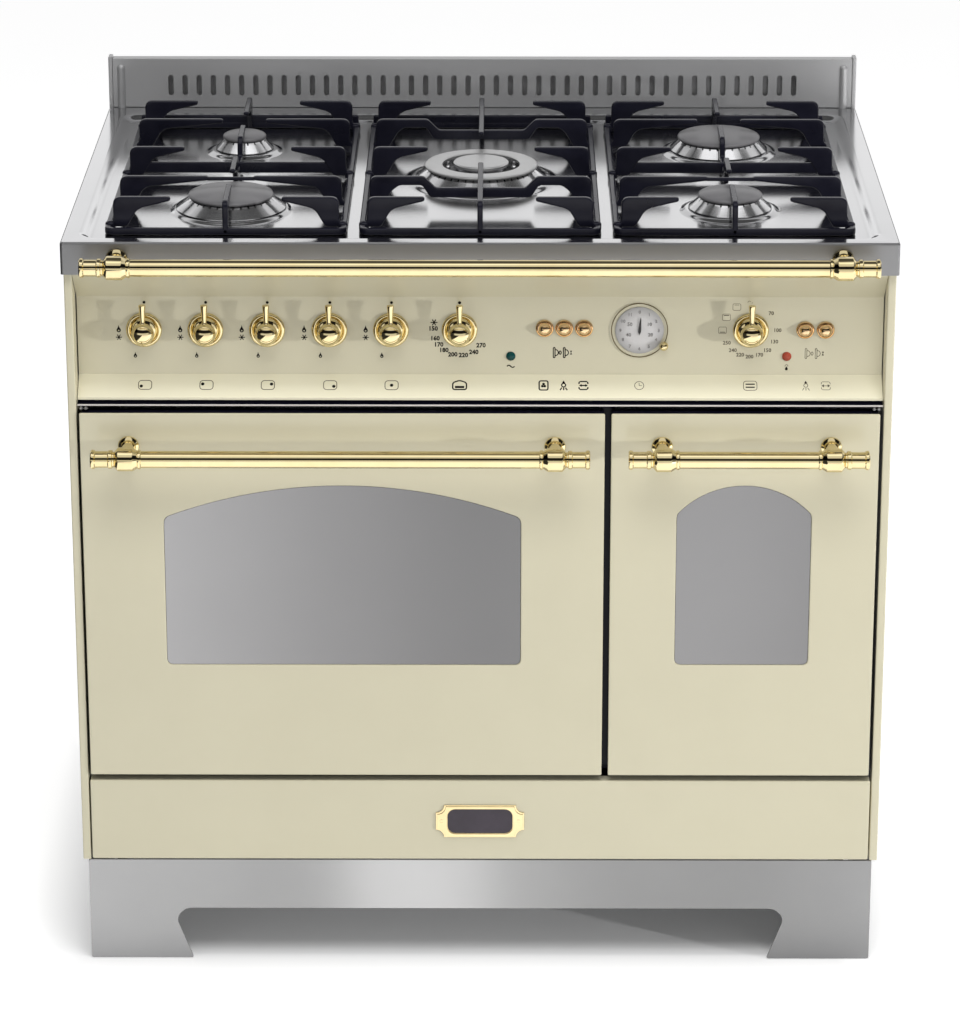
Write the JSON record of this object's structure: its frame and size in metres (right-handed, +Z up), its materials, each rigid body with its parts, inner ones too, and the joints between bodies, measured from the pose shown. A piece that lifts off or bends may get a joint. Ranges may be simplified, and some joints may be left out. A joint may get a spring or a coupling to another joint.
{
  "type": "range cooker",
  "caption": "Freestanding range cooker: gas hob with cast pan supports, two drop-down oven doors with arched windows, storage drawer and arched plinth.",
  "frame": {"origin": "on the floor, under the middle of the overall footprint", "axes": "+X to the cooker's right as seen from the front, +Y from the doors to the back, +Z up"},
  "size_m": [0.9, 0.6507, 0.912],
  "materials": {
    "cream": "cream vitreous enamel, gloss",
    "stainless": "brushed stainless steel",
    "brass": "polished brass",
    "rose_brass": "polished brass, warmer tone",
    "cast_iron": "black enamelled cast iron, satin",
    "alloy": "bright turned aluminium",
    "black_enamel": "black enamel, satin",
    "grey_enamel": "dark grey speckled enamel",
    "galvanised": "galvanised sheet",
    "mirror_glass": "reflective tinted oven glass",
    "chrome_wire": "chrome plated wire",
    "dial_face": "pale grey dial",
    "needle": "black",
    "teal_lens": "teal lamp lens",
    "red_lens": "red lamp lens"
  },
  "bodies": {
    "cabinet": {"hob_top": "stainless", "backguard": "stainless", "burner_body_centre": "alloy", "burner_ring_centre": "alloy", "burner_cap_centre": "black_enamel", "burner_body_front_left": "alloy", "burner_cap_front_left": "black_enamel", "burner_body_rear_left": "alloy", "burner_cap_rear_left": "black_enamel", "burner_body_front_right": "alloy", "burner_cap_front_right": "black_enamel", "burner_body_rear_right": "alloy", "burner_cap_rear_right": "black_enamel", "front_rail": "brass", "control_panel": "cream", "lamp_power": "teal_lens", "lamp_heating": "red_lens", "timer_dial": "dial_face", "valve_rail": "galvanised", "side_panel_left": "cream", "side_panel_right": "cream", "back_panel": "galvanised", "chassis": "black_enamel", "plinth": "stainless", "foot_rail_left": "galvanised", "foot_rail_right": "galvanised", "fascia_strip": "black_enamel", "mullion": "black_enamel", "oven_liner_left": "grey_enamel", "oven_rack_left": "chrome_wire", "oven_liner_right": "grey_enamel", "oven_rack_right": "chrome_wire"},
    "pan_support_left": {"pan_support_left": "cast_iron"},
    "pan_support_centre": {"pan_support_centre": "cast_iron"},
    "pan_support_right": {"pan_support_right": "cast_iron"},
    "door_left": {"door_left_skin": "cream", "door_left_glass": "mirror_glass", "door_left_inner": "black_enamel", "door_left_handle": "brass"},
    "door_right": {"door_right_skin": "cream", "door_right_glass": "mirror_glass", "door_right_inner": "black_enamel", "door_right_handle": "brass"},
    "drawer": {"drawer_front": "cream", "drawer_box": "galvanised", "badge": "brass"},
    "gas_knob_1": {"gas_knob_1": "brass"},
    "gas_knob_2": {"gas_knob_2": "brass"},
    "gas_knob_3": {"gas_knob_3": "brass"},
    "gas_knob_4": {"gas_knob_4": "brass"},
    "gas_knob_5": {"gas_knob_5": "brass"},
    "thermostat_knob": {"thermostat_knob": "brass"},
    "selector_knob": {"selector_knob": "brass"},
    "button_1": {"button_1": "rose_brass"},
    "button_2": {"button_2": "rose_brass"},
    "button_3": {"button_3": "rose_brass"},
    "button_4": {"button_4": "rose_brass"},
    "button_5": {"button_5": "rose_brass"},
    "timer_ring": {"timer_ring": "cream"},
    "timer_needle": {"timer_needle": "needle"}
  },
  "joints": [
    {"name": "door_left_hinge", "type": "hinge", "parent": "cabinet", "child": "door_left", "pos_m": [-0.15, -0.2585, 0.233], "axis": [1, 0, 0], "range_deg": [0, 90], "stiffness_Nm_per_rad": 10},
    {"name": "door_right_hinge", "type": "hinge", "parent": "cabinet", "child": "door_right", "pos_m": [0.289, -0.2585, 0.233], "axis": [1, 0, 0], "range_deg": [0, 90], "stiffness_Nm_per_rad": 5},
    {"name": "drawer_slide", "type": "slide", "parent": "cabinet", "child": "drawer", "axis": [0, -1, 0], "range_m": [0, 0.35]},
    {"name": "pan_support_left_lift", "type": "slide", "parent": "cabinet", "child": "pan_support_left", "axis": [0, 0, 1], "range_m": [0, 0.05]},
    {"name": "pan_support_centre_lift", "type": "slide", "parent": "cabinet", "child": "pan_support_centre", "axis": [0, 0, 1], "range_m": [0, 0.05]},
    {"name": "pan_support_right_lift", "type": "slide", "parent": "cabinet", "child": "pan_support_right", "axis": [0, 0, 1], "range_m": [0, 0.05]},
    {"name": "gas_knob_1_turn", "type": "hinge", "parent": "cabinet", "child": "gas_knob_1", "pos_m": [-0.366, -0.2365, 0.7385], "axis": [0, -1, 0], "range_deg": [0, 165]},
    {"name": "gas_knob_2_turn", "type": "hinge", "parent": "cabinet", "child": "gas_knob_2", "pos_m": [-0.299, -0.2365, 0.7385], "axis": [0, -1, 0], "range_deg": [0, 165]},
    {"name": "gas_knob_3_turn", "type": "hinge", "parent": "cabinet", "child": "gas_knob_3", "pos_m": [-0.232, -0.2365, 0.7385], "axis": [0, -1, 0], "range_deg": [0, 165]},
    {"name": "gas_knob_4_turn", "type": "hinge", "parent": "cabinet", "child": "gas_knob_4", "pos_m": [-0.164, -0.2365, 0.7385], "axis": [0, -1, 0], "range_deg": [0, 165]},
    {"name": "gas_knob_5_turn", "type": "hinge", "parent": "cabinet", "child": "gas_knob_5", "pos_m": [-0.097, -0.2365, 0.7385], "axis": [0, -1, 0], "range_deg": [0, 165]},
    {"name": "thermostat_knob_turn", "type": "hinge", "parent": "cabinet", "child": "thermostat_knob", "pos_m": [-0.0223, -0.2365, 0.7385], "axis": [0, -1, 0], "range_deg": [0, 240]},
    {"name": "selector_knob_turn", "type": "hinge", "parent": "cabinet", "child": "selector_knob", "pos_m": [0.2947, -0.2365, 0.7385], "axis": [0, 1, 0], "range_deg": [0, 330]},
    {"name": "button_1_press", "type": "slide", "parent": "cabinet", "child": "button_1", "axis": [0, 1, 0], "range_m": [0, 0.003], "stiffness_N_per_m": 600, "springref_m": -0.002},
    {"name": "button_2_press", "type": "slide", "parent": "cabinet", "child": "button_2", "axis": [0, 1, 0], "range_m": [0, 0.003], "stiffness_N_per_m": 600, "springref_m": -0.002},
    {"name": "button_3_press", "type": "slide", "parent": "cabinet", "child": "button_3", "axis": [0, 1, 0], "range_m": [0, 0.003], "stiffness_N_per_m": 600, "springref_m": -0.002},
    {"name": "button_4_press", "type": "slide", "parent": "cabinet", "child": "button_4", "axis": [0, 1, 0], "range_m": [0, 0.003], "stiffness_N_per_m": 600, "springref_m": -0.002},
    {"name": "button_5_press", "type": "slide", "parent": "cabinet", "child": "button_5", "axis": [0, 1, 0], "range_m": [0, 0.003], "stiffness_N_per_m": 600, "springref_m": -0.002},
    {"name": "timer_ring_turn", "type": "hinge", "parent": "cabinet", "child": "timer_ring", "pos_m": [0.1736, -0.2325, 0.7385], "axis": [0, 1, 0], "range_deg": [0, 330]},
    {"name": "timer_needle_turn", "type": "hinge", "parent": "cabinet", "child": "timer_needle", "pos_m": [0.1736, -0.2335, 0.7385], "axis": [0, 1, 0], "range_deg": [0, 330]}
  ],
  "couplings": [
    {"joint": "timer_needle_turn", "follows": "timer_ring_turn", "ratio": 1}
  ]
}
